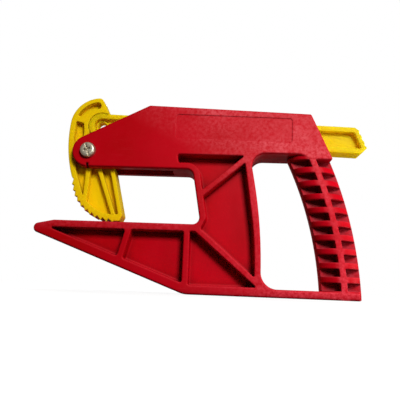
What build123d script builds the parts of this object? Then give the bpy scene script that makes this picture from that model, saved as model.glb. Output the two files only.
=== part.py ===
"""Panel carrier: a moulded frame with a throat and a grip, and a sprung cam worked by a push bar.

Millimetres. X runs along the base from the jaw's tip to the grip, Y through the thickness with the
screw's head at -Y, Z up. The origin is on the flat base edge that the frame stands on,
near its middle and in the middle plane of the thickness.
"""
import os
from math import acos, asin, atan2, cos, degrees, radians, sin, sqrt, tan

from build123d import *

# Frame: thickness, webs and rounding
THICKNESS = 30.0
SLOT_WIDTH = 16.0
POCKET_WEB = 6.0
GRIP_WEB = 10.0
EDGE_ROUND = 1.5
POCKET_ROUND = 1.6
POCKET_TIP_ROUND = 0.7
POCKET_EDGE_ROUND = 0.8
POCKET_ROOT = 1.6
POCKET_ROOT_CORNER = 1.8
CORNER_ROUND = 1.6

# Frame: base, jaw and throat
HEEL_X = -70.2
BASE_END_X = 67.5
BASE_BAR = 6.5
BASE_FLANGE = 7.3
HEEL_ROUND = 20.0
JAW_TOP = 56.0
JAW_TIP_X = -195.5
JAW_TIP_DROP = 9.7
JAW_BEVEL_DROP = 3.5
JAW_BEVEL = 16.2
TIP_ROUND = 4.0
JAW_FLANGE = 6.0
KEEL_FLANGE = 7.6
THROAT_WALL_X = -66.8
POST_LEAN = 10.0
THROAT_WALL = 5.6
THROAT_TOP_ROUND = 6.0
THROAT_LOW_ROUND = 5.5
THROAT_FOOT_LEAN = 63.0

# Frame: arm
PIVOT_X = -155.6
PIVOT_RISE = 59.8
NOSE_R = 14.0
NOSE_SLOPE = 27.5
ARM_RISE = 41.8
ARM_FALL = 2.05
ARM_END_X = 31.4
ARM_END_LEAN = 24.0
ARM_TOE_DROP = 4.2
CAM_SLOT_END_X = -84.0
LABEL_LENGTH = 98.0
LABEL_HEIGHT = 21.2
LABEL_X = -33.5
LABEL_DROP = 16.6
LABEL_DEPTH = 0.35
LABEL_ROUND = 2.5

# Frame: hand hole
HOLE_RISE = 1.2
HOLE_WALL_X = -9.4
HOLE_BEND_Z = 59.1
HOLE_BEND_R = 400.0
HOLE_TOP_ROUND = 11.0
HOLE_LOW_ROUND = 13.0
GUSSET_FALL = 42.0
POST_WALL = 5.0
POST_POCKET_LEAN = 8.0
POST_POCKET_BEND_Z = 45.0
POST_BEND_R = 300.0

# Frame: ribs between the pockets
RIB = 4.8
JAW_RIB_X = -117.0
JAW_RIB_LEAN = 14.0
HEEL_RIB_X = -69.3
LOW_BRACE_X = -60.3
LOW_BRACE_DROP = 5.0
LOW_BRACE_FALL = 40.4
HIGH_BRACE_X = -56.5
HIGH_BRACE_DROP = 18.8
HIGH_BRACE_RISE = 41.0
ARM_POCKET_DROP = 1.3
ARM_POCKET_X = -80.0

# Frame: grip
GRIP_FOOT_X = 55.8
GRIP_ARC_R = 318.0
GRIP_ARC_Z = -8.0
GRIP_WIDTH = 33.0
SPINE = 4.8
GAP_COUNT = 10
GAP_FIRST = 10.2
GAP_PITCH = 11.07
GAP_HEIGHT = 6.2
GRIP_FOOT_ROUND = 5.0
GRIP_FOOT_SPARE = 1.0

# Cam
CAM_SIDE_GAP = 0.5
CAM_JAW_GAP = 0.4
CAM_WEB = 2.6
KNUCKLE_X = 7.2
KNUCKLE_Z = 25.3
SOCKET_GAP = 0.35
SOCKET_LIP_ANGLE = 208.0
LOBE_X = 5.4
LOBE_Z = 24.9
LOBE_R = 25.4
LOBE_START = 88.0
LOBE_END = 171.0
LOBE_ROUND = 4.0
LIP_X = 13.0
CAM_BACK_X = -20.5
CAM_BACK_Z = 14.0
CAM_HEEL_X = -14.5
CAM_HEEL_Z = -21.5
TOOTH_ARC_X = 23.9
TOOTH_ARC_R = 38.4
TOOTH_COUNT = 11
TOOTH_FIRST_DEPTH = 1.7
TOOTH_LAST_DEPTH = 3.0
TOOTH_START = 184.0
TOOTH_END = 270.5
TOOTH_LAND = 0.85
CAM_TOE_X = 31.1
CAM_TOE_RISE = 6.0
CAM_TOE_CUT = 2.2
CAM_TOE_LIFT = 1.2
CAM_TOE_ROUND = 2.5
CAM_SHOULDER_X = 21.4
CAM_SHOULDER_Z = -14.0
CAM_RIM = 3.5
CAM_TOOTH_RIM = 3.4
CAM_HUB_R = 8.4
CAM_FLANK = 128.7
LOBE_POCKET_WIDE = 6.6
LOBE_POCKET_NARROW = 3.2
LOBE_POCKET_START = 97.5
LOBE_POCKET_END = 155.0
LOBE_POCKET_BULGE = 8.5
CAM_POCKET_ROUND = 1.2
CAM_TIP_ROUND = 0.5

# Cam pockets: their corners, in X and Z from the pivot
BACK_POCKET_TOP = ((-15.5, 29.1), (-8.4, 27.2), (-7.4, 18.7), (-9.0, 0.2), (-2.7, -14.3))
BACK_POCKET_TIP = (-3.4, -39.0)
BACK_POCKET_SIDE = ((-11.9, -15.6), (-16.3, 12.2))
MIDDLE_POCKET = ((1.1, -12.6), (6.2, -12.6), (21.6, -52.5), (21.6, -58.0), (-0.6, -58.0), (-0.4, -38.6))
FRONT_POCKET = ((9.7, -12.6), (14.6, -11.2), (18.2, -14.9), (27.8, -52.8), (25.0, -52.8))

# Push bar
BAR_FALL = 1.9
BAR_TOP = 10.6
BAR_BOTTOM = -12.4
BAR_REACH = 227.8
BAR_END_LEAN = 24.0
BAR_TOP_CHAMFER = 3.4
BAR_CHAMFER_FALL = 34.0
BAR_HEEL = 6.0
BAR_LOW_CHAMFER = 5.2
BAR_RIM = 4.2
BAR_POCKET = 6.0
BAR_POCKET_ROUND = 1.5
BAR_POCKET_START = 20.0
BAR_EDGE_ROUND = 0.7
EYE_R = 11.3
EYE_RIM = 4.9
EYE_BOSS_R = 5.3
EYE_BOSS_DROP = 3.5
EYE_HOLE_R = 4.1
EYE_POCKET = 5.0
EYE_POCKET_LENGTH = 17.0
SCALLOP_COUNT = 3
SCALLOP_R = 2.7
SCALLOP_DEPTH = 0.9
GUIDE_TOP_GAP = 2.2
GUIDE_LOW_GAP = 3.4

# Pivot screw, sleeve, washer and lock nut
SCREW_R = 3.175
SCREW_HEAD_R = 6.4
SCREW_HEAD = 4.4
SCREW_HEAD_ROUND = 2.2
SCREW_TAIL = 1.5
SCREW_TIP_CHAMFER = 0.8
DRIVE_TURN = 19.0
DRIVE_SLOT = 1.7
DRIVE_SLOT_DEPTH = 1.6
DRIVE_CROSS = 1.9
DRIVE_CROSS_LENGTH = 5.8
DRIVE_CROSS_DEPTH = 2.4
SCREW_GAP = 0.15
SLEEVE_R = 4.5
SLEEVE_FIT = 0.05
WASHER_R = 8.0
WASHER = 1.6
NUT_FLATS = 11.1
NUT_HEIGHT = 7.9
NUT_CHAMFER_RISE = 1.0
NUT_COLLAR = 1.9
NUT_COLLAR_R = 5.2
NUT_FIT = 0.05
INSERT_R = 4.4
INSERT_HEIGHT = 2.4

# Return spring
WIRE = 1.3
COIL_R = 7.6
COIL_PITCH = 1.8
COIL_QUARTERS = 10
COIL_INSET = 1.2
LEG_BEND = 1.6
LEG_GAP = 0.25
LEG_HOLE_GAP = 0.25
LEG_HOLE_DEPTH = 3.5
NOTCH_WIDTH = 2.2
NOTCH_RISE = 3.3
NOTCH_TIP = 2.0
RECESS_R = 12.8
RECESS_DEPTH = 6.9
RECESS_BOSS_R = 6.3

# Margins by which cutters overshoot and joined solids sink into each other
PAST = 5.0
SINK = 0.6

# Values worked out from the sizes above
HALF = THICKNESS / 2
HALF_SLOT = SLOT_WIDTH / 2
CAM_HALF = HALF_SLOT - CAM_SIDE_GAP
PIVOT_Z = JAW_TOP + PIVOT_RISE
ARM_LOW = PIVOT_Z - NOSE_R
HOLE_TOP = PIVOT_Z + HOLE_RISE
ARM_END_LOW = HOLE_TOP - ARM_TOE_DROP
ARM_POCKET_TOP = PIVOT_Z - ARM_POCKET_DROP
GRIP_CENTRE = (GRIP_FOOT_X - GRIP_ARC_R, GRIP_ARC_Z)
KNUCKLE = (PIVOT_X + KNUCKLE_X, PIVOT_Z + KNUCKLE_Z)
TOOTH_CENTRE = (PIVOT_X + TOOTH_ARC_X, JAW_TOP + CAM_JAW_GAP + TOOTH_ARC_R)
LEG_DROP = NOSE_R - NOTCH_RISE + LEG_GAP + WIRE / 2
LEG_LENGTH = sqrt(LEG_DROP**2 - COIL_R**2)
SPRING_FRONT_ANGLE = degrees(acos(COIL_R / LEG_DROP)) - 90
SPRING_BACK_ANGLE = SPRING_FRONT_ANGLE + 90 * COIL_QUARTERS


def polar(centre, radius, angle):
    """The point at a radius and an angle in degrees about a centre."""
    return (centre[0] + radius * cos(radians(angle)), centre[1] + radius * sin(radians(angle)))


def ray(point, angle):
    """A line as a point and a unit direction, the angle counted from +X in degrees."""
    return (point, (cos(radians(angle)), sin(radians(angle))))


def through(first, second):
    """The line from one point to another."""
    return ray(first, degrees(atan2(second[1] - first[1], second[0] - first[0])))


def shifted(line, distance):
    """The line moved to its left by a distance."""
    (x, z), (dx, dz) = line
    return ((x - distance * dz, z + distance * dx), (dx, dz))


def meet(one, other):
    """The point where two lines cross."""
    (ax, az), (adx, adz) = one
    (bx, bz), (bdx, bdz) = other
    along = ((bx - ax) * bdz - (bz - az) * bdx) / (adx * bdz - adz * bdx)
    return (ax + along * adx, az + along * adz)


def at_pivot(x, z):
    """A point given from the cam's pivot."""
    return (PIVOT_X + x, PIVOT_Z + z)


def rounded(corners):
    """A face from corners given as a point and a rounding radius."""
    points = [corner[0] for corner in corners]
    radii = [corner[1] for corner in corners]
    return make_face(FilletPolyline(*points, radius=radii, close=True))


def evenly_rounded(points, radius):
    """A face from points that all have one rounding radius."""
    return rounded([(point, radius) for point in points])


def slab(face, low_y, high_y):
    """A face drawn in X and Z, made solid from one Y to another."""
    return extrude(Plane.XZ.offset(-high_y) * face, amount=high_y - low_y)


def both_sides(face, inner, outer):
    """Two equal solids of a face, on the near and the far side of the middle plane."""
    return slab(face, -outer, -inner) + slab(face, inner, outer)


def disc(centre, radius):
    """A round face in X and Z."""
    return Pos(*centre) * Circle(radius)


def along_pivot(shape, y):
    """A shape built about Z, laid on the pivot's axis with its +Z facing -Y at the given Y."""
    return Plane(origin=(PIVOT_X, y, PIVOT_Z), x_dir=(1, 0, 0), z_dir=(0, -1, 0)) * shape


def rim_edges(solid):
    """The edges round the near and the far face of a flat solid."""
    faces = solid.faces().sort_by(Axis.Y)
    return faces[0].edges() + faces[-1].edges()


# Lines that the frame's outline and its pockets share
SLOPE_LINE = shifted(ray((PIVOT_X, PIVOT_Z), NOSE_SLOPE), NOSE_R)
ARM_LOW_LINE = ray((PIVOT_X, ARM_LOW), 0)
ARM_CORNER = meet(SLOPE_LINE, ray((0, PIVOT_Z + ARM_RISE), 0))
TOP_LINE = ray(ARM_CORNER, -ARM_FALL)
ARM_END = meet(TOP_LINE, ray((ARM_END_X, 0), 90))
END_LINE = ray(ARM_END, ARM_END_LEAN - 90)
ARM_TOE = meet(END_LINE, ray((0, ARM_END_LOW), 0))
JAW_LINE = ray((0, JAW_TOP), 0)
TIP_LOW = (JAW_TIP_X, JAW_TOP - JAW_TIP_DROP)
HEEL = (HEEL_X, 0.0)
KEEL_LINE = through(TIP_LOW, HEEL)
THROAT_LINE = ray((THROAT_WALL_X, ARM_LOW), POST_LEAN - 90)
HOLE_TOP_LINE = ray((0, HOLE_TOP), 0)
HOLE_LOW_LINE = ray((0, BASE_BAR), 0)
HOLE_BEND = (HOLE_WALL_X, HOLE_BEND_Z)
HOLE_UPPER_LINE = ray(HOLE_BEND, 90 + POST_LEAN)
HOLE_LOWER_LINE = ray(HOLE_BEND, -90)
SPINE_TOP_X = GRIP_CENTRE[0] + sqrt((GRIP_ARC_R - SPINE / 2) ** 2 - (ARM_END_LOW - GRIP_CENTRE[1]) ** 2)
SPINE_TOP = (SPINE_TOP_X, ARM_END_LOW)
GUSSET = meet(ray(SPINE_TOP, 180 - GUSSET_FALL), HOLE_TOP_LINE)
BAR_LINE = ray(KNUCKLE, -BAR_FALL)


def frame_outline():
    """The side view of the frame without its grip."""
    gusset_run = ARM_TOE_DROP / sin(radians(GUSSET_FALL))
    gusset_round = (gusset_run - SINK) / tan(radians(GUSSET_FALL / 2))
    return rounded(
        [
            (meet(SLOPE_LINE, ARM_LOW_LINE), NOSE_R),
            (ARM_CORNER, CORNER_ROUND),
            (ARM_END, CORNER_ROUND),
            (ARM_TOE, CORNER_ROUND),
            (SPINE_TOP, 0),
            (GUSSET, gusset_round),
            (meet(HOLE_TOP_LINE, HOLE_UPPER_LINE), HOLE_TOP_ROUND),
            (HOLE_BEND, HOLE_BEND_R),
            (meet(HOLE_LOW_LINE, HOLE_LOWER_LINE), HOLE_LOW_ROUND),
            ((BASE_END_X, BASE_BAR), 0),
            ((BASE_END_X, 0), CORNER_ROUND),
            (HEEL, HEEL_ROUND),
            (TIP_LOW, TIP_ROUND),
            ((JAW_TIP_X, JAW_TOP - JAW_BEVEL_DROP), TIP_ROUND),
            ((JAW_TIP_X + JAW_BEVEL, JAW_TOP), TIP_ROUND),
            (meet(JAW_LINE, THROAT_LINE), THROAT_LOW_ROUND),
            (meet(THROAT_LINE, ARM_LOW_LINE), THROAT_TOP_ROUND),
        ]
    )


def frame_pockets(corner, tip_corner):
    """The faces of the five pockets between the frame's ribs."""
    jaw_roof = shifted(JAW_LINE, -JAW_FLANGE)
    keel = shifted(KEEL_LINE, KEEL_FLANGE)
    floor = ray((0, BASE_FLANGE), 0)
    jaw_rib = ray(meet(jaw_roof, ray((JAW_RIB_X, 0), 90)), 90 - JAW_RIB_LEAN)
    heel_rib = ray((HEEL_RIB_X, 0), 90)
    low_brace = ray((LOW_BRACE_X, JAW_TOP - LOW_BRACE_DROP), -LOW_BRACE_FALL)
    high_brace = ray((HIGH_BRACE_X, ARM_LOW - HIGH_BRACE_DROP), HIGH_BRACE_RISE)
    throat = shifted(THROAT_LINE, THROAT_WALL)
    post_bend = (HOLE_WALL_X - POST_WALL, POST_POCKET_BEND_Z)
    post_upper = ray(post_bend, 90 + POST_POCKET_LEAN)
    post_lower = ray(post_bend, -90)
    arm_floor = shifted(ARM_LOW_LINE, THROAT_WALL)
    arm_roof = ray((0, ARM_POCKET_TOP), 0)
    half = RIB / 2
    tip = rounded(
        [
            (meet(jaw_roof, keel), tip_corner),
            (meet(keel, shifted(jaw_rib, half)), corner),
            (meet(shifted(jaw_rib, half), jaw_roof), corner),
        ]
    )
    jaw = evenly_rounded(
        [
            meet(jaw_roof, shifted(jaw_rib, -half)),
            meet(shifted(jaw_rib, -half), keel),
            meet(keel, shifted(heel_rib, half)),
            meet(shifted(heel_rib, half), jaw_roof),
        ],
        corner,
    )
    base = rounded(
        [
            (meet(jaw_roof, shifted(heel_rib, -half)), tip_corner),
            (meet(shifted(heel_rib, -half), floor), corner),
            (meet(floor, shifted(low_brace, -half)), tip_corner),
            (meet(shifted(low_brace, -half), jaw_roof), tip_corner),
        ]
    )
    throat_foot = meet(throat, ray((0, JAW_TOP + THROAT_LOW_ROUND), 0))
    post = rounded(
        [
            (meet(throat, shifted(high_brace, -half)), corner),
            (throat_foot, THROAT_LOW_ROUND),
            (meet(shifted(low_brace, half), ray(throat_foot, THROAT_FOOT_LEAN)), corner),
            (meet(shifted(low_brace, half), post_lower), tip_corner),
            (post_bend, POST_BEND_R),
            (meet(post_upper, shifted(high_brace, -half)), tip_corner),
        ]
    )
    arm = rounded(
        [
            ((ARM_POCKET_X, ARM_POCKET_TOP), corner),
            (meet(arm_floor, ray((ARM_POCKET_X, ARM_POCKET_TOP), POST_LEAN - 90)), corner),
            (meet(arm_floor, throat), THROAT_TOP_ROUND + THROAT_WALL),
            (meet(throat, shifted(high_brace, half)), tip_corner),
            (meet(shifted(high_brace, half), arm_roof), tip_corner),
        ]
    )
    return [tip, jaw, base, post, arm]


def grip():
    """The bowed grip: a web and a spine with level fins, trimmed to an oval bar."""
    (centre_x, centre_z) = GRIP_CENTRE
    left = HOLE_WALL_X
    right = GRIP_FOOT_X + GRIP_WIDTH / 2 + GRIP_FOOT_SPARE
    region = rounded(
        [
            ((left, 0), 0),
            ((right, 0), GRIP_FOOT_ROUND),
            ((right, ARM_END_LOW + SINK), 0),
            ((SPINE_TOP[0], ARM_END_LOW + SINK), 0),
            ((GUSSET[0], HOLE_TOP + SINK), 0),
            ((left, HOLE_TOP + SINK), 0),
        ]
    )
    oval = Pos(centre_x + GRIP_ARC_R, 0, centre_z) * Ellipse(GRIP_WIDTH / 2, HALF)
    sweep_angle = degrees(asin((HOLE_TOP + PAST - centre_z) / GRIP_ARC_R))
    bar = revolve(oval, Axis((centre_x, 0, centre_z), (0, -1, 0)), sweep_angle)
    ring = disc(GRIP_CENTRE, GRIP_ARC_R + SPINE / 2) - disc(GRIP_CENTRE, GRIP_ARC_R - SPINE / 2)
    skeleton = slab(region, -GRIP_WEB / 2, GRIP_WEB / 2)
    skeleton += slab(ring & region, -HALF, HALF)
    low = -SINK
    for step in range(GAP_COUNT + 1):
        gap_middle = GAP_FIRST + step * GAP_PITCH
        high = gap_middle - GAP_HEIGHT / 2
        if step == GAP_COUNT:
            high = HOLE_TOP + PAST
        fin = make_face(Polyline((left, low), (right, low), (right, high), (left, high), close=True))
        skeleton += slab(fin & region, -HALF, HALF)
        low = gap_middle + GAP_HEIGHT / 2
    return bar & skeleton


def arm_slot():
    """The space between the cheeks: open below for the cam, and a channel for the push bar."""
    roof = shifted(BAR_LINE, BAR_TOP + GUIDE_TOP_GAP)
    floor = shifted(BAR_LINE, BAR_BOTTOM - GUIDE_LOW_GAP)
    slot_end = ray((CAM_SLOT_END_X, 0), 90)
    left = ray((PIVOT_X - NOSE_R - PAST, 0), 90)
    right = ray((ARM_TOE[0] + PAST, 0), 90)
    under = ray((0, ARM_LOW - PAST), 0)
    face = make_face(
        Polyline(
            meet(left, under),
            meet(slot_end, under),
            meet(slot_end, floor),
            meet(right, floor),
            meet(right, roof),
            meet(left, roof),
            close=True,
        )
    )
    return slab(face, -HALF_SLOT, HALF_SLOT)


def frame():
    """The moulded frame with its jaw, throat, arm and grip."""
    body = slab(frame_outline(), -HALF, HALF)
    body = fillet(rim_edges(body), EDGE_ROUND)
    for face in frame_pockets(POCKET_ROUND, POCKET_TIP_ROUND):
        body -= both_sides(face, POCKET_WEB / 2 + POCKET_ROOT, HALF + PAST)
    for face in frame_pockets(POCKET_ROOT_CORNER, POCKET_ROOT_CORNER):
        cut = slab(face, POCKET_WEB / 2, HALF + PAST)
        cut = fillet(cut.faces().sort_by(Axis.Y)[0].edges(), POCKET_ROOT)
        body -= [cut, mirror(cut, about=Plane.XZ)]
    sides = body.faces().sort_by(Axis.Y)
    rims = [edge for side in (sides[0], sides[-1]) for wire in side.inner_wires() for edge in wire.edges()]
    body = fillet(rims, POCKET_EDGE_ROUND)
    body += grip()
    body -= arm_slot()
    body -= slab(disc((PIVOT_X, PIVOT_Z), SCREW_R + SCREW_GAP), -HALF - PAST, HALF + PAST)
    notch = Pos(PIVOT_X, ARM_LOW + NOTCH_RISE / 2 - PAST) * Rectangle(NOTCH_WIDTH, NOTCH_RISE + 2 * PAST)
    notch &= make_face(
        Polyline(
            at_pivot(-NOSE_R, -NOSE_R - PAST),
            at_pivot(NOSE_R, -NOSE_R - PAST),
            at_pivot(NOSE_R, -NOSE_R + NOTCH_RISE),
            at_pivot(-NOSE_R, -NOSE_R + NOTCH_RISE),
            close=True,
        )
    )
    body -= slab(notch, -HALF - PAST, -HALF_SLOT + SINK)
    label_z = meet(TOP_LINE, ray((LABEL_X, 0), 90))[1] - LABEL_DROP
    label = Pos(LABEL_X, label_z) * Rot(Z=-ARM_FALL / 2) * RectangleRounded(LABEL_LENGTH, LABEL_HEIGHT, LABEL_ROUND)
    body -= slab(label, -HALF - PAST, -HALF + LABEL_DEPTH)
    return body


def tooth_points():
    """The corners of the saw teeth, from the heel of the cam towards its toe."""
    pitch = (TOOTH_END - TOOTH_START) / TOOTH_COUNT
    deepening = (TOOTH_LAST_DEPTH - TOOTH_FIRST_DEPTH) / TOOTH_COUNT
    points = []
    for step in range(TOOTH_COUNT):
        root_r = TOOTH_ARC_R - TOOTH_FIRST_DEPTH - step * deepening
        points.append(polar(TOOTH_CENTRE, root_r, TOOTH_START + step * pitch))
        points.append(polar(TOOTH_CENTRE, TOOTH_ARC_R, TOOTH_START + (step + TOOTH_LAND) * pitch))
    points.append(polar(TOOTH_CENTRE, TOOTH_ARC_R - CAM_TOE_LIFT, TOOTH_END))
    return points


def cam_outline():
    """The side view of the cam: lobe, back, teeth, toe, flank and the socket for the bar's eye."""
    socket_r = EYE_R + SOCKET_GAP
    lobe_centre = at_pivot(LOBE_X, LOBE_Z)
    lip_line = shifted(BAR_LINE, BAR_TOP + SOCKET_GAP)
    lip_angle = degrees(asin((BAR_TOP + SOCKET_GAP) / socket_r)) - BAR_FALL
    lip = meet(lip_line, ray((PIVOT_X + LIP_X, 0), 90))
    flank = ray(polar((PIVOT_X, PIVOT_Z), CAM_HUB_R, CAM_FLANK - 90), CAM_FLANK)
    low_lip = polar(KNUCKLE, socket_r, SOCKET_LIP_ANGLE)
    lobe_start = polar(lobe_centre, LOBE_R, LOBE_START)
    lobe_end = polar(lobe_centre, LOBE_R, LOBE_END)
    heel = at_pivot(CAM_HEEL_X, CAM_HEEL_Z)
    teeth = tooth_points()
    toe = (PIVOT_X + CAM_TOE_X, JAW_TOP + CAM_JAW_GAP + CAM_TOE_RISE)
    toe_low = (toe[0] - CAM_TOE_CUT, teeth[-1][1])
    right_edge = through(toe, at_pivot(CAM_SHOULDER_X, CAM_SHOULDER_Z))
    edges = [
        Line(lip, lobe_start),
        CenterArc(lobe_centre, LOBE_R, LOBE_START, LOBE_END - LOBE_START),
        ThreePointArc(lobe_end, at_pivot(CAM_BACK_X, CAM_BACK_Z), heel),
        Polyline(heel, *teeth, toe_low, toe, meet(right_edge, flank), meet(flank, ray(low_lip, 90)), low_lip),
        CenterArc(KNUCKLE, socket_r, SOCKET_LIP_ANGLE, lip_angle - SOCKET_LIP_ANGLE),
        Line(polar(KNUCKLE, socket_r, lip_angle), lip),
    ]
    face = make_face(edges)
    corner = face.vertices().sort_by_distance((*lobe_start, 0))[0]
    face = fillet(corner, LOBE_ROUND)
    corner = face.vertices().sort_by_distance((*toe, 0))[0]
    return fillet(corner, CAM_TOE_ROUND)


def cam_pockets():
    """The faces of the pockets between the cam's ribs."""
    inside = disc(TOOTH_CENTRE, TOOTH_ARC_R - TOOTH_LAST_DEPTH - CAM_TOOTH_RIM)
    back = [(at_pivot(*corner), CAM_POCKET_ROUND) for corner in BACK_POCKET_TOP]
    back.append((at_pivot(*BACK_POCKET_TIP), CAM_TIP_ROUND))
    back += [(at_pivot(*corner), CAM_POCKET_ROUND) for corner in BACK_POCKET_SIDE]
    middle = [at_pivot(*corner) for corner in MIDDLE_POCKET]
    front = [at_pivot(*corner) for corner in FRONT_POCKET]
    centre = at_pivot(LOBE_X, LOBE_Z)
    outer_r = LOBE_R - CAM_RIM
    wide_r = outer_r - LOBE_POCKET_WIDE
    narrow_r = outer_r - LOBE_POCKET_NARROW
    middle_angle = (LOBE_POCKET_START + LOBE_POCKET_END) / 2
    wide_end = polar(centre, outer_r, LOBE_POCKET_START)
    narrow_end = polar(centre, outer_r, LOBE_POCKET_END)
    wide_foot = polar(centre, wide_r, LOBE_POCKET_START)
    narrow_foot = polar(centre, narrow_r, LOBE_POCKET_END)
    bulge = polar(centre, (outer_r + wide_r) / 2, LOBE_POCKET_START - LOBE_POCKET_BULGE)
    band = make_face(
        [
            ThreePointArc(wide_end, polar(centre, outer_r, middle_angle), narrow_end),
            Line(narrow_end, narrow_foot),
            ThreePointArc(narrow_foot, polar(centre, (wide_r + narrow_r) / 2, middle_angle), wide_foot),
            ThreePointArc(wide_foot, bulge, wide_end),
        ]
    )
    return [
        rounded(back),
        evenly_rounded(middle, CAM_POCKET_ROUND) & inside,
        evenly_rounded(front, CAM_POCKET_ROUND),
        band,
    ]


def cam_jaw():
    """The toothed cam with its socket, its bore and the recess for the spring."""
    pivot = (PIVOT_X, PIVOT_Z)
    body = slab(cam_outline(), -CAM_HALF, CAM_HALF)
    for face in cam_pockets():
        body -= both_sides(face, CAM_WEB / 2, CAM_HALF + PAST)
    recess = disc(pivot, RECESS_R) - disc(pivot, RECESS_BOSS_R)
    body -= slab(recess, -CAM_HALF - PAST, -CAM_HALF + RECESS_DEPTH)
    leg_turn = degrees(atan2(LEG_BEND, COIL_R))
    leg_centre = polar(pivot, COIL_R / cos(radians(leg_turn)), SPRING_BACK_ANGLE + leg_turn)
    leg = disc(leg_centre, WIRE / 2 + LEG_HOLE_GAP)
    body -= slab(leg, -CAM_HALF, -CAM_HALF + RECESS_DEPTH + LEG_HOLE_DEPTH)
    return body - slab(disc(pivot, SLEEVE_R + SLEEVE_FIT), -CAM_HALF - PAST, CAM_HALF + PAST)


def on_bar(along, up):
    """A point given along and across the push bar from the middle of its eye."""
    (x, z) = polar(KNUCKLE, along, -BAR_FALL)
    return polar((x, z), up, 90 - BAR_FALL)


def bar_end(up):
    """How far the slanted button end reaches at a height across the bar."""
    return BAR_REACH - (up - BAR_BOTTOM - BAR_LOW_CHAMFER) * tan(radians(BAR_END_LEAN))


def release_bar():
    """The push bar with its eye at one end and its scalloped button at the other."""
    chamfer_top = BAR_TOP - BAR_TOP_CHAMFER * tan(radians(BAR_CHAMFER_FALL))
    chamfer_low = BAR_BOTTOM + BAR_LOW_CHAMFER
    outline = make_face(
        Polyline(
            on_bar(0, BAR_TOP),
            on_bar(bar_end(chamfer_top) - BAR_TOP_CHAMFER, BAR_TOP),
            on_bar(bar_end(chamfer_top), chamfer_top),
            on_bar(bar_end(chamfer_low), chamfer_low),
            on_bar(bar_end(chamfer_low) - BAR_LOW_CHAMFER, BAR_BOTTOM),
            on_bar(BAR_HEEL, BAR_BOTTOM),
            on_bar(0, -EYE_R),
            close=True,
        )
    )
    outline += disc(KNUCKLE, EYE_R)
    body = slab(outline, -CAM_HALF, CAM_HALF)
    body = fillet(rim_edges(body), BAR_EDGE_ROUND)
    spacing = (chamfer_top - chamfer_low) / SCALLOP_COUNT
    for step in range(SCALLOP_COUNT):
        up = chamfer_low + (step + 0.5) * spacing
        centre = polar((bar_end(up), up), SCALLOP_R - SCALLOP_DEPTH, BAR_END_LEAN)
        body -= slab(disc(on_bar(*centre), SCALLOP_R), -CAM_HALF - PAST, CAM_HALF + PAST)
    pocket_top = BAR_TOP - BAR_RIM
    pocket_low = BAR_BOTTOM + BAR_RIM
    end_rim = BAR_RIM / cos(radians(BAR_END_LEAN))
    pocket = evenly_rounded(
        [
            on_bar(BAR_POCKET_START, pocket_top),
            on_bar(bar_end(pocket_top) - end_rim, pocket_top),
            on_bar(bar_end(pocket_low) - end_rim, pocket_low),
            on_bar(BAR_POCKET_START, pocket_low),
        ],
        BAR_POCKET_ROUND,
    )
    body -= both_sides(pocket, CAM_HALF - BAR_POCKET, CAM_HALF + PAST)
    eye_r = EYE_R - EYE_RIM
    eye = make_face(
        Polyline(
            on_bar(0, eye_r),
            on_bar(EYE_POCKET_LENGTH, eye_r),
            on_bar(EYE_POCKET_LENGTH, -eye_r),
            on_bar(0, -eye_r),
            close=True,
        )
    )
    eye += disc(KNUCKLE, eye_r)
    body -= both_sides(eye, CAM_HALF - EYE_BOSS_DROP, CAM_HALF + PAST)
    eye -= disc(KNUCKLE, EYE_BOSS_R)
    body -= both_sides(eye, CAM_HALF - EYE_POCKET, CAM_HALF + PAST)
    return body - slab(disc(KNUCKLE, EYE_HOLE_R), -CAM_HALF - PAST, CAM_HALF + PAST)


def pivot_screw():
    """The pan head screw with its slot and cross recess."""
    head = extrude(Circle(SCREW_HEAD_R), amount=SCREW_HEAD)
    head = fillet(head.edges().sort_by(Axis.Z)[-1], SCREW_HEAD_ROUND)
    up = (Align.CENTER, Align.CENTER, Align.MIN)
    slot = Pos(0, 0, SCREW_HEAD - DRIVE_SLOT_DEPTH) * Box(
        DRIVE_SLOT, 2 * SCREW_HEAD_R + PAST, SCREW_HEAD, align=up
    )
    arm = Pos(0, 0, SCREW_HEAD - DRIVE_CROSS_DEPTH) * Box(
        DRIVE_CROSS, DRIVE_CROSS_LENGTH, SCREW_HEAD, align=up
    )
    head -= Rot(Z=DRIVE_TURN) * (slot + arm + Rot(Z=90) * arm)
    length = THICKNESS + WASHER + NUT_HEIGHT + SCREW_TAIL
    shank = Pos(0, 0, -length) * extrude(Circle(SCREW_R), amount=length)
    shank = chamfer(shank.edges().sort_by(Axis.Z)[0], SCREW_TIP_CHAMFER)
    return along_pivot(head + shank, -HALF)


def pivot_sleeve():
    """The tube on the screw that holds the cheeks apart and carries the cam."""
    tube = extrude(Circle(SLEEVE_R) - Circle(SCREW_R + SCREW_GAP), amount=SLOT_WIDTH)
    return along_pivot(tube, HALF_SLOT)


def plain_washer():
    """The washer between the far cheek and the nut."""
    ring = extrude(Circle(WASHER_R) - Circle(SCREW_R + SCREW_GAP), amount=WASHER)
    return along_pivot(ring, HALF + WASHER)


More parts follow.
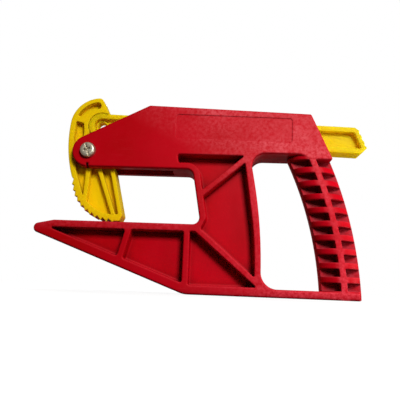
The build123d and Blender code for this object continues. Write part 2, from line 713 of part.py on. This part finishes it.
def lock_nut():
    """The hexagon nut with a round collar that holds the insert."""
    hexagon = Pos(0, 0, NUT_COLLAR) * extrude(
        RegularPolygon(NUT_FLATS / 2, 6, major_radius=False), amount=NUT_HEIGHT - NUT_COLLAR
    )
    corner_r = NUT_FLATS / sqrt(3)
    shoulder_r = NUT_FLATS / 2
    turned = Polyline(
        (0, 0, NUT_COLLAR),
        (shoulder_r, 0, NUT_COLLAR),
        (corner_r, 0, NUT_COLLAR + NUT_CHAMFER_RISE),
        (corner_r, 0, NUT_HEIGHT - NUT_CHAMFER_RISE),
        (shoulder_r, 0, NUT_HEIGHT),
        (0, 0, NUT_HEIGHT),
        close=True,
    )
    body = hexagon & revolve(make_face(turned), Axis.Z)
    collar = extrude(Circle(NUT_COLLAR_R), amount=NUT_COLLAR + SINK)
    body += fillet(collar.edges().sort_by(Axis.Z)[0], SINK)
    body -= extrude(Circle(INSERT_R + NUT_FIT), amount=INSERT_HEIGHT)
    body -= extrude(Circle(SCREW_R + NUT_FIT), amount=NUT_HEIGHT)
    return along_pivot(body, HALF + WASHER + NUT_HEIGHT)


def lock_nut_insert():
    """The ring in the nut's collar that grips the thread."""
    ring = extrude(Circle(INSERT_R) - Circle(SCREW_R + NUT_FIT), amount=INSERT_HEIGHT)
    return along_pivot(ring, HALF + WASHER + NUT_HEIGHT)


def coil_point(quarter):
    """A point on the spring's coil and the coil's direction there, counted in quarter turns."""
    angle = radians(SPRING_FRONT_ANGLE + 90 * quarter)
    y = COIL_INSET - CAM_HALF + COIL_PITCH * quarter / 4
    point = Vector(PIVOT_X + COIL_R * cos(angle), y, PIVOT_Z + COIL_R * sin(angle))
    rise = COIL_PITCH / radians(360)
    return point, Vector(-COIL_R * sin(angle), rise, COIL_R * cos(angle)).normalized()


def two_arcs(start, start_way, end, end_way):
    """Two arcs that run into each other and leave both ends along their directions."""
    chord = end - start
    ways = start_way + end_way
    spread = 2 * (1 - start_way.dot(end_way))
    reach = (sqrt(chord.dot(ways) ** 2 + spread * chord.dot(chord)) - chord.dot(ways)) / spread
    middle = (start + end + (start_way - end_way) * reach) * 0.5
    half_chord = (middle - start).normalized()
    middle_way = half_chord * (2 * start_way.dot(half_chord)) - start_way
    return [TangentArc(start, middle, tangent=start_way), TangentArc(middle, end, tangent=middle_way)]


def return_spring():
    """The torsion spring: a coil round the cam's hub with one leg in the cheek and one in the cam."""
    through_y = Vector(0, 1, 0)
    first, first_way = coil_point(0)
    last, last_way = coil_point(COIL_QUARTERS)
    corner = first - first_way * LEG_LENGTH
    front_trim = LEG_BEND * tan(acos(through_y.dot(first_way)) / 2)
    back_trim = LEG_BEND * tan(acos(through_y.dot(last_way)) / 2)
    tip = Vector(corner.X, NOTCH_TIP - HALF, corner.Z)
    bend_start = corner - through_y * front_trim
    bend_end = corner + first_way * front_trim
    back_corner = last + last_way * back_trim
    back_end = back_corner + through_y * back_trim
    back_tip = Vector(back_end.X, RECESS_DEPTH + LEG_HOLE_DEPTH - CAM_HALF - SINK, back_end.Z)
    edges = [
        Line(tip, bend_start),
        TangentArc(bend_start, bend_end, tangent=through_y),
        Line(bend_end, first),
    ]
    for quarter in range(COIL_QUARTERS):
        edges += two_arcs(*coil_point(quarter), *coil_point(quarter + 1))
    edges += [TangentArc(last, back_end, tangent=last_way), Line(back_end, back_tip)]
    section = Plane(origin=tip, z_dir=through_y) * Circle(WIRE / 2)
    return sweep(section, path=Wire(edges))


PIECES = {
    "frame": frame,
    "cam_jaw": cam_jaw,
    "release_bar": release_bar,
    "pivot_screw": pivot_screw,
    "pivot_sleeve": pivot_sleeve,
    "plain_washer": plain_washer,
    "lock_nut": lock_nut,
    "lock_nut_insert": lock_nut_insert,
    "return_spring": return_spring,
}

os.makedirs("parts", exist_ok=True)
for name, make in PIECES.items():
    export_step(make(), f"parts/{name}.step")
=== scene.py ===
from math import cos, radians, sin

import bpy
from mathutils import Matrix, Vector

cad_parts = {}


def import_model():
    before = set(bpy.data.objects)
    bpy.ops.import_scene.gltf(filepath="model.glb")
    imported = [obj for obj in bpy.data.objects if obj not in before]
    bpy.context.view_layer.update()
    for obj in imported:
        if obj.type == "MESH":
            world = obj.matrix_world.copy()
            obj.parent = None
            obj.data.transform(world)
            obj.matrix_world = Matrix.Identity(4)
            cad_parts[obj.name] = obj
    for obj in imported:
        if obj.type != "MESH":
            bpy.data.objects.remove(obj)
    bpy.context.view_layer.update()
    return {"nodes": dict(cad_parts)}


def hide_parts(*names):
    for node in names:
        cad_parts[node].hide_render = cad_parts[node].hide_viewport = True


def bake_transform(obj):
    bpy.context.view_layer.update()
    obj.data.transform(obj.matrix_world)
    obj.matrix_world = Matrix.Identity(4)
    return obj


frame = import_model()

MM = 0.001

# Camera: place in metres, angles in degrees, focal length and side of the sensor in millimetres
CAMERA_PLACE = Vector((-0.04264, -0.375, 0.00368))
CAMERA_PITCH = 11.335
CAMERA_YAW = 2.697
CAMERA_ROLL = -2.291
CAMERA_LENS = 40.5
SENSOR = 36.0

# Lamps: place, aim and side in metres, power in watts
AIM = Vector((-0.06, 0.0, 0.08))
KEY_PLACE = Vector((0.24, -0.8, 0.45))
KEY_SIDE = 0.25
KEY_POWER = 8.3
BACK_PLACE = Vector((-0.25, 0.8, 0.7))
BACK_SIDE = 0.5
BACK_POWER = 8.0
FILL_PLACE = Vector((0.36, -0.28, 0.13))
FILL_AIM = Vector((0.05, 0.0, 0.05))
FILL_SIDE = 0.12
FILL_POWER = 0.32
LOW_PLACE = Vector((0.2, -0.03, 0.012))
LOW_AIM = Vector((0.1, 0.0, 0.12))
LOW_SIDE = 0.12
LOW_POWER = 0.45

# White surroundings: their level as light on the part, and in reflections, where 1 is white
WORLD_LEVEL = 0.012
GLOSSY_LEVEL = 0.25

# Floor: its side in metres, its colour to bounced light and to the camera, and how much white is added
# at two distances from the origin, in metres
FLOOR_SIDE = 8.0
FLOOR_BOUNCE = (0.05, 0.05, 0.05, 1.0)
FLOOR_SEEN = (0.16, 0.16, 0.16, 1.0)
FLOOR_NEAR = 0.15
FLOOR_FAR = 0.4
FLOOR_NEAR_LIFT = 0.87
FLOOR_FAR_LIFT = 1.0

# Colours, linear: deep in the darker clouds and in the painted shade towards the jaw's tip, pale where it
# is worn and in painted highlights and sheen, shade as painted shade in the corners
RED = (0.54, 0.001, 0.010)
RED_DEEP = (0.40, 0.0005, 0.002)
RED_PALE = (0.80, 0.05, 0.075)
# Pale pink on the arm's outer faces, partly dust and partly painted sheen
RED_DUST_AND_SHEEN = (0.85, 0.42, 0.43)
# Dust and painted shade on the grip's web between the fins
RED_WEB_DUST_AND_SHADE = (0.40, 0.022, 0.035)
# Painted shade in the frame's corners and under its lower edges
RED_SHADE = (0.10, 0.0005, 0.002)
YELLOW = (0.92, 0.60, 0.002)
YELLOW_DEEP = (0.92, 0.55, 0.002)
YELLOW_BAR = (0.66, 0.49, 0.002)
YELLOW_PALE = (0.95, 0.72, 0.04)
# Painted shade in the cam's corners
YELLOW_SHADE = (0.64, 0.41, 0.002)
# Painted light in the release bar's corners, lighter than its own colour
YELLOW_BAR_CORNER_LIGHT = (0.84, 0.56, 0.002)
STEEL = (0.62, 0.55, 0.42)
STEEL_DARK = (0.40, 0.34, 0.24)
STEEL_PALE = (0.85, 0.79, 0.64)
WIRE = (0.05, 0.047, 0.045)
WIRE_DARK = (0.02, 0.019, 0.018)
NYLON = (0.04, 0.11, 0.33)
# Deeper clouds of the nut's insert, also its painted shade in the corners
NYLON_DEEP = (0.02, 0.06, 0.2)
NYLON_PALE = (0.2, 0.3, 0.5)

# Rays for each rounded edge and each corner of painted shade
RAYS = 8

# In the groups below, a noise pattern has a scale per metre, a detail and a roughness, and a bump has a
# strength and a height. A span has the two values that it runs between and what it gives at each of
# them, which is 0 and 1 where only the values stand. An edge has a radius and the two cosines that its
# wear runs between.

# Moulded plastic
CLOUD = (16.0, 4.0, 0.55)
CLOUD_DEEPER = (0.38, 0.66, 0.0, 0.5)
# Painted shade: the colour deepens towards the jaw's tip, away from the key lamp
TIP_PAINTED_SHADE = (-190.0 * MM, 0.0, 0.5, 0.0)
SPECKLE = (1100.0, 2.0, 0.6)
SPECKLE_PALER = (0.60, 0.78, 0.0, 0.08)
STREAK = (1.0, 3.0, 0.6)
STREAK_STRETCH = (60.0, 60.0, 900.0)
STREAK_SPAN = (0.58, 0.74)
PATCH = (34.0, 2.0, 0.5)
PATCH_SPAN = (0.5, 0.68)
SCUFF_PALER = 0.12
SCUFF_ROUGHER = 0.12
SCUFF_BUMP = (0.25, -0.08 * MM)
PLASTIC_EDGE = (0.5 * MM, 0.72, 0.99)
PLASTIC_EDGE_PATCHY = (0.3, 0.6, 0.35, 0.7)
PLASTIC_EDGE_PALER = 0.4
# Painted shade in the corners, by how open they are
CORNER_REACH = 9.0 * MM
CORNER_PAINTED_SHADE = (0.25, 0.85, 0.72, 0.0)
SHEEN = (130.0, 3.0, 0.5)
SHEEN_SPAN = (0.35, 0.65)
SHEEN_SMOOTHER = 0.05
SHEEN_ROUGHER = 0.07
WAVE = (55.0, 2.0, 0.5)
WAVE_BUMP = (0.25, 0.5 * MM)
GRAIN = (650.0, 3.0, 0.65)
GRAIN_HEIGHT = 0.12 * MM
PLASTIC_SPECULAR = 0.04
GLOW_RADIUS = (1.0, 0.95, 0.2)
GLOW_SCALE = 10.0 * MM

# Haze on the outer faces of the frame, partly wear and partly painted sheen where the key lamp's reflection
# falls: the faces by their depth, its spread along the frame and how far the arm's top draws it forward,
# and its two colours by height
OUTER_FACES = (14.2 * MM, 15.0 * MM)
MOTTLE = (340.0, 4.0, 0.7)
MOTTLE_SPAN = (0.38, 0.64, 0.15, 1.15)
BLOTCH = (28.0, 2.0, 0.5)
BLOTCH_SPAN = (0.35, 0.62, 0.55, 1.2)
HAZE_ALONG = (-75.0 * MM, 10.0 * MM)
HAZE_FORWARD = (120.0 * MM, 165.0 * MM, 0.0, 90.0 * MM)
HAZE_PALER = (0.0, 120.0 * MM, 1.4, 0.8)
HAZE_DUST_AND_SHEEN = (80.0 * MM, 120.0 * MM, 0.0, 0.16)

# Other marks on the frame: painted shade under its lower edges, painted highlights on the upper edges of
# the low bars and along the jaw's top rim, and dust with painted shade on the web between the grip's fins
MARK_ROUND = 2.6 * MM
SIDE_FACES = (0.2, 0.6)
FACING_DOWN = (-0.12, -0.5)
UNDER_SHADE_HEIGHT = (0.0, 8.0 * MM, 0.0, 0.7)
FACING_UP = (0.05, 0.5)
TOP_HIGHLIGHT_HEIGHT = (60.0 * MM, 75.0 * MM, 0.16, 0.0)
RIM_FOOT = (47.0 * MM, 53.0 * MM)
RIM_TOP = (57.0 * MM, 62.0 * MM, 1.0, 0.0)
RIM_ALONG = (-75.0 * MM, -65.0 * MM, 0.3, 0.0)
WEB_DEPTH = (5.6 * MM, 5.0 * MM)
WEB_ALONG = (10.0 * MM, 20.0 * MM, 0.0, 0.9)

# Plated steel
TARNISH = (260.0, 4.0, 0.6)
TARNISH_SPAN = (0.35, 0.7)
STEEL_EDGE = (0.3 * MM, 0.7, 0.99)
STEEL_EDGE_PALER = 0.6
# Painted shade in the steel's recesses
RECESS_REACH = 2.0 * MM
RECESS_PAINTED_SHADE = (0.2, 0.85, 0.25, 0.0)
RECESS_TONE = 0.15
STEEL_METALLIC = 0.9
TURNING = (1.0, 3.0, 0.5)
TURNING_STRETCH = (900.0, 5000.0, 900.0)
TURNING_SPAN = (0.3, 0.7)
TURNING_SMOOTHER = 0.06
TURNING_ROUGHER = 0.1
TURNING_BUMP = (0.2, 0.04 * MM)
STEEL_ROUND = 0.25 * MM

# Sockets of the Mix node when it mixes colours
MIX_AMOUNT = 0
MIX_FIRST = 6
MIX_SECOND = 7
MIX_RESULT = 2


def rgba(colour):
    return (*colour, 1.0)


class Nodes:
    """A short way to write a node tree: each call makes nodes, fills their inputs and gives an output."""

    def __init__(self, owner):
        owner.use_nodes = True
        self.tree = owner.node_tree
        self.tree.nodes.clear()

    def add(self, kind, settings=None, **inputs):
        made = self.tree.nodes.new("ShaderNode" + kind)
        for name, value in (settings or {}).items():
            setattr(made, name, value)
        for name, value in inputs.items():
            self.fill(made.inputs[name.replace("_", " ")], value)
        return made

    def fill(self, socket, value):
        if isinstance(value, bpy.types.NodeSocket):
            self.tree.links.new(value, socket)
        else:
            socket.default_value = value

    def noise(self, place, scale, detail, roughness):
        made = self.add("TexNoise", Vector=place, Scale=scale, Detail=detail, Roughness=roughness)
        return made.outputs["Fac"]

    def stretch(self, place, scale, turn=(0.0, 0.0, 0.0)):
        return self.add("Mapping", Vector=place, Scale=scale, Rotation=turn).outputs["Vector"]

    def split(self, vector):
        return self.add("SeparateXYZ", Vector=vector).outputs

    def span(self, value, low, high, to_low=0.0, to_high=1.0):
        made = self.add("MapRange", Value=value, From_Min=low, From_Max=high, To_Min=to_low, To_Max=to_high)
        return made.outputs["Result"]

    def maths(self, operation, first, second=0.0):
        made = self.add("Math", {"operation": operation})
        self.fill(made.inputs[0], first)
        self.fill(made.inputs[1], second)
        return made.outputs[0]

    def product(self, first, *others):
        for other in others:
            first = self.maths("MULTIPLY", first, other)
        return first

    def vector_maths(self, operation, *vectors):
        made = self.add("VectorMath", {"operation": operation})
        for socket, vector in zip(made.inputs, vectors):
            self.fill(socket, vector)
        return made.outputs["Value"]

    def mix(self, amount, first, second):
        made = self.add("Mix", {"data_type": "RGBA"})
        self.fill(made.inputs[MIX_AMOUNT], amount)
        self.fill(made.inputs[MIX_FIRST], first)
        self.fill(made.inputs[MIX_SECOND], second)
        return made.outputs[MIX_RESULT]

    def bump(self, height, strength, distance, normal):
        made = self.add("Bump", Height=height, Strength=strength, Distance=distance, Normal=normal)
        return made.outputs["Normal"]

    def rounded(self, radius):
        return self.add("Bevel", {"samples": RAYS}, Radius=radius).outputs["Normal"]

    def flat(self):
        return self.add("NewGeometry").outputs["True Normal"]

    def openness(self, reach):
        return self.add("AmbientOcclusion", {"samples": RAYS}, Distance=reach).outputs["AO"]

    def edge(self, radius, low, high):
        """Near 1 on sharp edges: how far a rounded normal departs from the true one."""
        return self.span(self.vector_maths("DOT_PRODUCT", self.rounded(radius), self.flat()), high, low)

    def seen(self, path):
        """1 to the camera and through clear pieces, less in reflections and 0 to all other light."""
        direct = self.maths("MAXIMUM", path["Is Camera Ray"], path["Is Transmission Ray"])
        return self.maths("MAXIMUM", direct, self.product(path["Is Glossy Ray"], GLOSSY_LEVEL))

    def surface(self, kind, shader):
        self.add("Output" + kind, Surface=shader.outputs[0])


def new_material(name):
    material = bpy.data.materials.new(name)
    nodes = Nodes(material)
    shader = nodes.add("BsdfPrincipled")
    nodes.surface("Material", shader)
    return material, nodes, shader


def painted_sheen_and_wear(nodes, place, part, base, outer_mottle, painted_light_and_wear, pale):
    """Haze on the outer faces, part wear, part painted sheen: more toward the grip, pale pink dust and
    sheen on the arm.
    """
    along = nodes.maths("ADD", part["X"], nodes.span(part["Z"], *HAZE_FORWARD))
    blotches = nodes.span(nodes.noise(place, *BLOTCH), *BLOTCH_SPAN)
    amount = nodes.product(outer_mottle, nodes.span(along, *HAZE_ALONG, 0.0, painted_light_and_wear), blotches)
    base = nodes.mix(nodes.product(amount, nodes.span(part["Z"], *HAZE_PALER)), base, rgba(pale))
    return nodes.mix(nodes.product(amount, nodes.span(part["Z"], *HAZE_DUST_AND_SHEEN)), base, rgba(RED_DUST_AND_SHEEN))


def painted_edge_light(nodes, part, base, pale, shade):
    """Painted shade under the lower edges of the side faces, painted highlight on upper edges of low bars.
    """
    up = nodes.split(nodes.rounded(MARK_ROUND))["Z"]
    side = nodes.span(nodes.maths("ABSOLUTE", nodes.split(nodes.flat())["Y"]), *SIDE_FACES)
    # Painted shade where the rounded edge faces down, painted highlight where it faces up
    under_edge_shade = nodes.product(nodes.span(up, *FACING_DOWN), nodes.span(part["Z"], *UNDER_SHADE_HEIGHT), side)
    top_edge_highlight = nodes.product(nodes.span(up, *FACING_UP), nodes.span(part["Z"], *TOP_HIGHLIGHT_HEIGHT), side)
    base = nodes.mix(under_edge_shade, base, rgba(shade))
    return nodes.mix(top_edge_highlight, base, rgba(pale))


def rim_highlight_and_web_dust(nodes, part, base, outer_mottle, web_dust_and_shade, pale):
    """A painted highlight along the jaw's top rim, and dull dust with painted shade on the grip's web."""
    # Painted highlight on the front face along the jaw's top rim
    rim = nodes.product(nodes.span(part["Z"], *RIM_FOOT), nodes.span(part["Z"], *RIM_TOP))
    rim_painted_highlight = nodes.product(rim, nodes.span(part["X"], *RIM_ALONG), outer_mottle)
    base = nodes.mix(rim_painted_highlight, base, rgba(pale))
    # Dust and painted shade on the grip's web
    return nodes.mix(nodes.product(web_dust_and_shade, nodes.span(part["X"], *WEB_ALONG)), base, rgba(RED_WEB_DUST_AND_SHADE))


def moulded_plastic(
    name, colour, deep, pale, shade, rough, grain, scuff_turn, soft=0.5 * MM, glow=0.0, painted_light_and_wear=0.0
):
    """Satin injection-moulded plastic: mottled colour, fine grain, scuffs, worn edges, painted shade in
    corners.

    soft is the radius that edges are rounded by, glow is the share of light that passes into the
    plastic, and the last argument is how strong the pale wear and painted sheen on the outer faces of a
    carried piece are; it also turns on the painted edge light, the rim's painted highlight and the web's
    dust.
    """
    material, nodes, shader = new_material(name)
    place = nodes.add("TexCoord").outputs["Object"]
    part = nodes.split(place)
    cloud = nodes.noise(place, *CLOUD)
    # Random deeper clouds, plus painted shade towards the jaw's tip
    tone = nodes.maths("ADD", nodes.span(cloud, *CLOUD_DEEPER), nodes.span(part["X"], *TIP_PAINTED_SHADE))
    base = nodes.mix(tone, rgba(colour), rgba(deep))
    speckle = nodes.noise(place, *SPECKLE)
    base = nodes.mix(nodes.span(speckle, *SPECKLE_PALER), base, rgba(pale))
    streak = nodes.noise(nodes.stretch(place, STREAK_STRETCH, (0.0, scuff_turn, 0.0)), *STREAK)
    patch = nodes.noise(place, *PATCH)
    scuff = nodes.product(nodes.span(streak, *STREAK_SPAN), nodes.span(patch, *PATCH_SPAN))
    base = nodes.mix(nodes.product(scuff, SCUFF_PALER), base, rgba(pale))
    if painted_light_and_wear:
        depth = nodes.maths("ABSOLUTE", part["Y"])
        mottle = nodes.span(nodes.noise(place, *MOTTLE), *MOTTLE_SPAN)
        outer_mottle = nodes.product(nodes.span(depth, *OUTER_FACES), mottle)
        web_dust_and_shade = nodes.product(nodes.span(depth, *WEB_DEPTH), mottle)
        # Pale wear and painted sheen on the outer faces
        base = painted_sheen_and_wear(nodes, place, part, base, outer_mottle, painted_light_and_wear, pale)
    worn = nodes.product(nodes.edge(*PLASTIC_EDGE), nodes.span(cloud, *PLASTIC_EDGE_PATCHY))
    base = nodes.mix(nodes.product(worn, PLASTIC_EDGE_PALER), base, rgba(pale))
    # Painted shade in the corners
    base = nodes.mix(nodes.span(nodes.openness(CORNER_REACH), *CORNER_PAINTED_SHADE), base, rgba(shade))
    if painted_light_and_wear:
        # Painted shade and highlights on the edges and the jaw's rim, dust and painted shade between the
        # fins
        base = painted_edge_light(nodes, part, base, pale, shade)
        base = rim_highlight_and_web_dust(nodes, part, base, outer_mottle, web_dust_and_shade, pale)
    nodes.fill(shader.inputs["Base Color"], base)
    shader.inputs["Specular IOR Level"].default_value = PLASTIC_SPECULAR
    shader.inputs["Subsurface Weight"].default_value = glow
    shader.inputs["Subsurface Radius"].default_value = GLOW_RADIUS
    shader.inputs["Subsurface Scale"].default_value = GLOW_SCALE
    sheen = nodes.noise(place, *SHEEN)
    sheen = nodes.span(sheen, *SHEEN_SPAN, rough - SHEEN_SMOOTHER, rough + SHEEN_ROUGHER)
    sheen = nodes.maths("ADD", sheen, nodes.product(scuff, SCUFF_ROUGHER))
    nodes.fill(shader.inputs["Roughness"], sheen)
    normal = nodes.bump(nodes.noise(place, *WAVE), *WAVE_BUMP, nodes.rounded(soft))
    normal = nodes.bump(nodes.noise(place, *GRAIN), grain, GRAIN_HEIGHT, normal)
    nodes.fill(shader.inputs["Normal"], nodes.bump(scuff, *SCUFF_BUMP, normal))
    return material


def plated_steel(name, colour, dark, pale, rough):
    """Plated steel: cloudy tone, fine turning marks, bright edges and painted shade in the recesses."""
    material, nodes, shader = new_material(name)
    place = nodes.add("TexCoord").outputs["Object"]
    tarnish = nodes.noise(place, *TARNISH)
    base = nodes.mix(nodes.span(tarnish, *TARNISH_SPAN), rgba(colour), rgba(dark))
    base = nodes.mix(nodes.product(nodes.edge(*STEEL_EDGE), STEEL_EDGE_PALER), base, rgba(pale))
    # Painted shade in the recesses
    recess_shade = tuple(RECESS_TONE * channel for channel in dark)
    base = nodes.mix(nodes.span(nodes.openness(RECESS_REACH), *RECESS_PAINTED_SHADE), base, rgba(recess_shade))
    nodes.fill(shader.inputs["Base Color"], base)
    shader.inputs["Metallic"].default_value = STEEL_METALLIC
    marks = nodes.noise(nodes.stretch(place, TURNING_STRETCH), *TURNING)
    sheen = nodes.span(marks, *TURNING_SPAN, rough - TURNING_SMOOTHER, rough + TURNING_ROUGHER)
    nodes.fill(shader.inputs["Roughness"], sheen)
    nodes.fill(shader.inputs["Normal"], nodes.bump(marks, *TURNING_BUMP, nodes.rounded(STEEL_ROUND)))
    return material


def dress(node, material):
    slots = frame["nodes"][node].data.materials
    slots.clear()
    slots.append(material)


def spring(material):
    """The torsion spring: its mesh is copied into a coil in the wire finish, and the part itself is hidden.
    """
    coil = bpy.data.objects.new("return_spring_coil", frame["nodes"]["return_spring"].data.copy())
    bpy.context.scene.collection.objects.link(coil)
    coil.data.materials.clear()
    coil.data.materials.append(material)
    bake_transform(coil)
    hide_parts("return_spring")


def materials():
    red = moulded_plastic(
        "red_plastic", RED, RED_DEEP, RED_PALE, RED_SHADE,
        rough=0.44, grain=0.35, scuff_turn=0.5, soft=1.2 * MM, painted_light_and_wear=0.5,
    )
    yellow = moulded_plastic(
        "yellow_plastic", YELLOW, YELLOW_DEEP, YELLOW_PALE, YELLOW_SHADE,
        rough=0.40, grain=0.25, scuff_turn=-0.3, soft=0.8 * MM, glow=0.35,
    )
    clear_yellow = moulded_plastic(
        "clear_yellow_plastic", YELLOW_BAR, YELLOW_DEEP, YELLOW_PALE, YELLOW_BAR_CORNER_LIGHT,
        rough=0.50, grain=0.25, scuff_turn=0.2, soft=0.6 * MM, glow=0.9,
    )
    nylon = moulded_plastic(
        "insert_nylon", NYLON, NYLON_DEEP, NYLON_PALE, NYLON_DEEP,
        rough=0.5, grain=0.2, scuff_turn=0.0,
    )
    steel = plated_steel("zinc_steel", STEEL, STEEL_DARK, STEEL_PALE, rough=0.38)
    wire = plated_steel("spring_wire", WIRE, WIRE_DARK, STEEL_DARK, rough=0.34)
    dress("frame", red)
    dress("cam_jaw", yellow)
    dress("release_bar", clear_yellow)
    for node in ("pivot_screw", "pivot_sleeve", "plain_washer", "lock_nut"):
        dress(node, steel)
    dress("lock_nut_insert", nylon)
    spring(wire)


def floor():
    """A pale floor that shows white to the camera where it is lit, and keeps the shadow."""
    bpy.ops.mesh.primitive_plane_add(size=FLOOR_SIDE)
    plane = bpy.context.object
    plane.name = "floor"
    material = bpy.data.materials.new("floor_pale")
    nodes = Nodes(material)
    path = nodes.add("LightPath").outputs
    matt = nodes.add("BsdfDiffuse", Color=nodes.mix(path["Is Camera Ray"], FLOOR_BOUNCE, FLOOR_SEEN))
    away = nodes.vector_maths("LENGTH", nodes.add("TexCoord").outputs["Object"])
    level = nodes.span(away, FLOOR_NEAR, FLOOR_FAR, FLOOR_NEAR_LIFT, FLOOR_FAR_LIFT)
    lift = nodes.add("Emission", Strength=nodes.product(nodes.seen(path), level))
    both = nodes.add("AddShader")
    nodes.fill(both.inputs[0], matt.outputs[0])
    nodes.fill(both.inputs[1], lift.outputs[0])
    nodes.surface("Material", both)
    plane.data.materials.append(material)


def world():
    """White to the camera, less so in reflections, and a low soft level of light for the rest."""
    made = bpy.data.worlds.new("studio")
    nodes = Nodes(made)
    seen = nodes.seen(nodes.add("LightPath").outputs)
    level = nodes.span(seen, 0.0, 1.0, WORLD_LEVEL, 1.0)
    nodes.surface("World", nodes.add("Background", Color=(1.0, 1.0, 1.0, 1.0), Strength=level))
    bpy.context.scene.world = made


def lamp(name, place, aim, side, power, mirrored=True):
    """A square lamp; one that isn't mirrored leaves no highlight on glossy faces."""
    data = bpy.data.lights.new(name, "AREA")
    data.shape = "SQUARE"
    data.size = side
    data.energy = power
    made = bpy.data.objects.new(name, data)
    made.location = place
    made.rotation_euler = (aim - place).to_track_quat("-Z", "Y").to_euler()
    made.visible_glossy = mirrored
    bpy.context.scene.collection.objects.link(made)


def camera():
    """The camera at the photograph's place, with its upward tilt, its yaw and its roll."""
    pitch = radians(CAMERA_PITCH)
    yaw = radians(CAMERA_YAW)
    roll = radians(CAMERA_ROLL)
    ahead = Vector((-sin(yaw) * cos(pitch), cos(yaw) * cos(pitch), sin(pitch)))
    level_right = Vector((cos(yaw), sin(yaw), 0.0))
    level_up = level_right.cross(ahead)
    right = cos(roll) * level_right - sin(roll) * level_up
    up = sin(roll) * level_right + cos(roll) * level_up
    data = bpy.data.cameras.new("camera")
    data.lens = CAMERA_LENS
    data.sensor_width = SENSOR
    data.clip_start = MM
    made = bpy.data.objects.new("camera", data)
    turn = Matrix((right, up, -ahead)).transposed().to_4x4()
    made.matrix_world = Matrix.Translation(CAMERA_PLACE) @ turn
    bpy.context.scene.collection.objects.link(made)
    bpy.context.scene.camera = made


materials()
floor()
world()
lamp("key", KEY_PLACE, AIM, KEY_SIDE, KEY_POWER)
lamp("back", BACK_PLACE, AIM, BACK_SIDE, BACK_POWER, mirrored=False)
lamp("fill", FILL_PLACE, FILL_AIM, FILL_SIDE, FILL_POWER)
lamp("low", LOW_PLACE, LOW_AIM, LOW_SIDE, LOW_POWER)
camera()
bpy.context.scene.view_settings.view_transform = "Standard"
